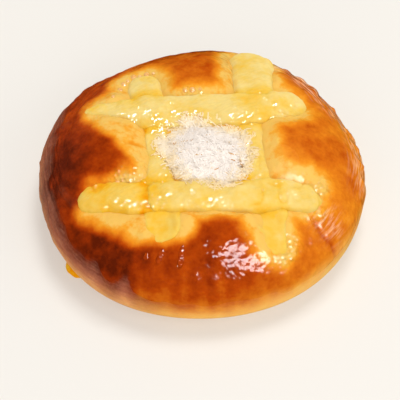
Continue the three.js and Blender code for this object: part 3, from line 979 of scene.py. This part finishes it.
def build_drip(material):
    piece = new_piece("drip", cad_copy("custard_drip"))
    skinned(piece, DRIP_VOXEL, DRIP_EASE)
    mesh = piece.data
    points = places(mesh)
    points += facings(mesh) * (0.2 * MM * noise(points, 2 * MM, 9))[:, None]
    points[:, 2] = np.maximum(points[:, 2], 0)
    move_to(mesh, points)
    mark(mesh, "depth", np.full(len(points), 1.0))
    mark(mesh, "wet", film_cover(mesh))
    finished(piece, "custard", material, "custard_drip")


# Coconut


def build_heap_core(material):
    mesh = bpy.data.meshes.new("coconut_core")
    form = bmesh.new()
    bmesh.ops.create_uvsphere(form, u_segments=96, v_segments=56, radius=1)
    form.to_mesh(mesh)
    form.free()
    points = places(mesh)
    out = np.hypot(points[:, 0], points[:, 1])
    points[:, 2] = np.where(points[:, 2] > 0, points[:, 2] ** 2, points[:, 2])
    points = points * np.array(HEAP_HALF) + np.array(HEAP_MIDDLE)
    points[:, 2] += 0.5 * MM * noise(points, 6 * MM, 12) + 0.25 * MM * noise(points, 1.2 * MM, 13)
    move_to(mesh, points)
    mark(mesh, "tone", np.full(len(points), 0.5))
    mark(mesh, "cover", 1 - 0.75 * smooth(out, 0.45, 0.95))
    piece = new_piece("coconut_core", mesh)
    finished(piece, "coconut", material, "coconut_heap")
    return piece


def dusting_mesh(tree):
    """A sheet draped over the heap and the ropes round it, with how thickly coconut covers it."""
    across = np.arange(-DUST_HALF.x, DUST_HALF.x, DUST_STEP)
    deep = np.arange(-DUST_HALF.y, DUST_HALF.y, DUST_STEP)
    corners = []
    for y in deep:
        corners.extend(drop_onto(tree, DUST_MIDDLE.x + x, DUST_MIDDLE.y + y)[0] for x in across)
    wide = len(across)
    faces = []
    for row in range(len(deep) - 1):
        for column in range(wide - 1):
            first = row * wide + column
            faces.append((first, first + 1, first + 1 + wide, first + wide))
    mesh = bpy.data.meshes.new("dusting")
    mesh.from_pydata(corners, [], faces)
    points = places(mesh)
    thick = sum(spot["cover"] * near_spot(points, spot) for spot in DUST_SPOTS)
    mark(mesh, "cover", smooth(thick + 0.16 * noise(points, 3 * MM, 15), 0.12, 1.05))
    return mesh


def random_vector(tree, low, high, seed):
    made = node(
        tree,
        "FunctionNodeRandomValue",
        {"Min": low, "Max": high, "Seed": seed},
        data_type="FLOAT_VECTOR",
    )
    return made.outputs["Value"]


def shred_shape(tree, given, sag, sway):
    """A flat strip along X that sags at its ends and sways to one side, in shares of its length."""
    length = given["Shred Length"]
    ends = []
    for end in (-0.5, 0.5):
        corner = node(tree, "ShaderNodeCombineXYZ", {"X": maths(tree, "MULTIPLY", length, end)})
        ends.append(corner.outputs[0])
    rise = maths(tree, "MULTIPLY", length, sag)
    aside = maths(tree, "MULTIPLY", length, sway)
    middle = node(tree, "ShaderNodeCombineXYZ", {"Y": aside, "Z": rise})
    line = node(
        tree,
        "GeometryNodeCurveQuadraticBezier",
        {"Resolution": given["Steps"], "Start": ends[0], "Middle": middle.outputs[0], "End": ends[1]},
    )
    section = node(
        tree,
        "GeometryNodeCurvePrimitiveQuadrilateral",
        {"Width": given["Shred Width"], "Height": given["Shred Thickness"]},
    )
    strip = node(
        tree,
        "GeometryNodeCurveToMesh",
        {"Curve": line.outputs[0], "Profile Curve": section.outputs[0], "Fill Caps": True},
    )
    return strip.outputs[0]


def shred_sockets(tree):
    """Gives the tree its inputs and its output, and returns the inputs as its nodes see them."""
    face = tree.interface
    face.new_socket("Geometry", in_out="INPUT", socket_type="NodeSocketGeometry")
    for name in ("Density", "Shred Length", "Shred Width", "Shred Thickness"):
        face.new_socket(name, in_out="INPUT", socket_type="NodeSocketFloat")
    for name in ("Steps", "Seed"):
        face.new_socket(name, in_out="INPUT", socket_type="NodeSocketInt")
    face.new_socket("Finish", in_out="INPUT", socket_type="NodeSocketMaterial")
    face.new_socket("Geometry", in_out="OUTPUT", socket_type="NodeSocketGeometry")
    return node(tree, "NodeGroupInput").outputs


def shred_kinds(tree, given):
    """The shreds to pick from, one for each bend."""
    kinds = node(tree, "GeometryNodeJoinGeometry")
    for sag, sway in BENDS:
        strip = shred_shape(tree, given, sag, sway)
        kept = node(tree, "GeometryNodeGeometryToInstance", {"Geometry": strip})
        tree.links.new(kept.outputs[0], kinds.inputs[0])
    return kinds.outputs[0]


def laid_shreds(tree, given):
    """Shreds of every kind spread over the surface, each with its own lean, turn and size."""
    cover = node(tree, "GeometryNodeInputNamedAttribute", {"Name": "cover"}, data_type="FLOAT")
    density = maths(tree, "MULTIPLY", cover.outputs["Attribute"], given["Density"])
    spread = node(
        tree,
        "GeometryNodeDistributePointsOnFaces",
        {"Mesh": given["Geometry"], "Density": density, "Seed": given["Seed"]},
    )
    turned = node(
        tree,
        "FunctionNodeRotateRotation",
        {"Rotation": spread.outputs["Rotation"], "Rotate By": random_vector(tree, *LEANS, given["Seed"])},
        rotation_space="LOCAL",
    )
    laid = node(
        tree,
        "GeometryNodeInstanceOnPoints",
        {
            "Points": spread.outputs["Points"],
            "Instance": shred_kinds(tree, given),
            "Pick Instance": True,
            "Rotation": turned.outputs[0],
            "Scale": random_vector(tree, *SIZES, given["Seed"]),
        },
    )
    return laid.outputs[0]


def shred_tree():
    """Scatters bent shreds over a surface, as thickly as its cover says, and gives each a tone."""
    tree = bpy.data.node_groups.new("coconut_shreds", "GeometryNodeTree")
    given = shred_sockets(tree)
    chance = node(tree, "FunctionNodeRandomValue", {"Seed": given["Seed"]}, data_type="FLOAT")
    toned = node(
        tree,
        "GeometryNodeStoreNamedAttribute",
        {"Geometry": laid_shreds(tree, given), "Name": "tone", "Value": chance.outputs["Value"]},
        data_type="FLOAT",
        domain="INSTANCE",
    )
    whole = node(tree, "GeometryNodeRealizeInstances", {"Geometry": toned.outputs[0]})
    dressed = node(
        tree,
        "GeometryNodeSetMaterial",
        {"Geometry": whole.outputs[0], "Material": given["Finish"]},
    )
    node(tree, "NodeGroupOutput", {"Geometry": dressed.outputs[0]})
    return tree


def set_inputs(modifier, values):
    """Sets a tree's named inputs through their identifiers."""
    for item in modifier.node_group.interface.items_tree:
        if item.in_out == "INPUT" and item.name in values:
            modifier[item.identifier] = values[item.name]


def build_shreds(name, kind, tree, surface, material):
    piece = new_piece(name, dusting_mesh(surface))
    scatter = piece.modifiers.new("scatter", "NODES")
    scatter.node_group = tree
    values = {
        "Density": kind["density"] / MM**2,
        "Shred Length": kind["length"] * MM,
        "Shred Width": kind["width"] * MM,
        "Shred Thickness": kind["thick"] * MM,
        "Steps": kind["steps"],
        "Seed": kind["seed"],
        "Finish": material,
    }
    set_inputs(scatter, values)
    settle(piece)
    finished(piece, "coconut", material, "coconut_heap")


# Floor, lights and camera


def build_floor():
    mesh = bpy.data.meshes.new("floor")
    corners = [(x * FLOOR_REACH, y * FLOOR_REACH, 0) for x, y in [(-1, -1), (1, -1), (1, 1), (-1, 1)]]
    mesh.from_pydata(corners, [], [(0, 1, 2, 3)])
    floor = new_piece("floor", mesh)
    mesh.materials.append(floor_finish())
    floor.visible_glossy = False


def aim(thing, target):
    thing.rotation_euler = (target - thing.location).to_track_quat("-Z", "Y").to_euler()


def soft_light(given):
    light = bpy.data.lights.new(given["name"], "AREA")
    light.shape = "RECTANGLE"
    light.size = given["width"]
    light.size_y = given["height"]
    light.energy = given["power"]
    light.color = LIGHT_COLOUR
    lamp = bpy.data.objects.new(given["name"], light)
    lamp.location = given["place"]
    lamp.visible_glossy = given["name"] == GLOSS_LIGHT
    lamp.visible_diffuse = given["name"] != GLOSS_LIGHT
    bpy.context.scene.collection.objects.link(lamp)
    aim(lamp, LIGHT_AIM)


def build_light():
    world = bpy.data.worlds.new("studio")
    bpy.context.scene.world = world
    world.use_nodes = True
    sky = world.node_tree.nodes["Background"]
    sky.inputs["Color"].default_value = (*LIGHT_COLOUR, 1)
    sky.inputs["Strength"].default_value = SKY_STRENGTH
    world.cycles_visibility.glossy = False
    for given in LIGHTS:
        soft_light(given)


def build_camera():
    camera = bpy.data.cameras.new("camera")
    camera.lens = CAMERA_LENS
    camera.sensor_width = CAMERA_SENSOR
    eye = bpy.data.objects.new("camera", camera)
    away = Vector((0, -math.cos(CAMERA_ELEVATION), math.sin(CAMERA_ELEVATION)))
    eye.location = CAMERA_TARGET + away * CAMERA_DISTANCE
    aim(eye, CAMERA_TARGET)
    bpy.context.scene.collection.objects.link(eye)
    bpy.context.scene.camera = eye


def main():
    bpy.context.scene.view_settings.view_transform = "Standard"
    bare_bun = tree_of(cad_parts["bun"].data)
    bare_custard = tree_of(*(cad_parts[name].data for name in ROPES))
    custard = custard_finish()
    coconut = coconut_finish()
    bun = build_bun(bare_custard)
    ropes = build_custard(bare_bun, custard)
    build_drip(custard)
    crust_tree = tree_of(bun.data)
    build_beads(crust_tree)
    build_bubbles(crust_tree)
    core = build_heap_core(coconut)
    surface = tree_of(bun.data, core.data, *(rope.data for rope in ropes))
    scatter = shred_tree()
    build_shreds("coconut_shreds", SHREDS, scatter, surface, coconut)
    build_shreds("coconut_flakes", FLAKES, scatter, surface, coconut)
    build_floor()
    build_light()
    build_camera()


main()
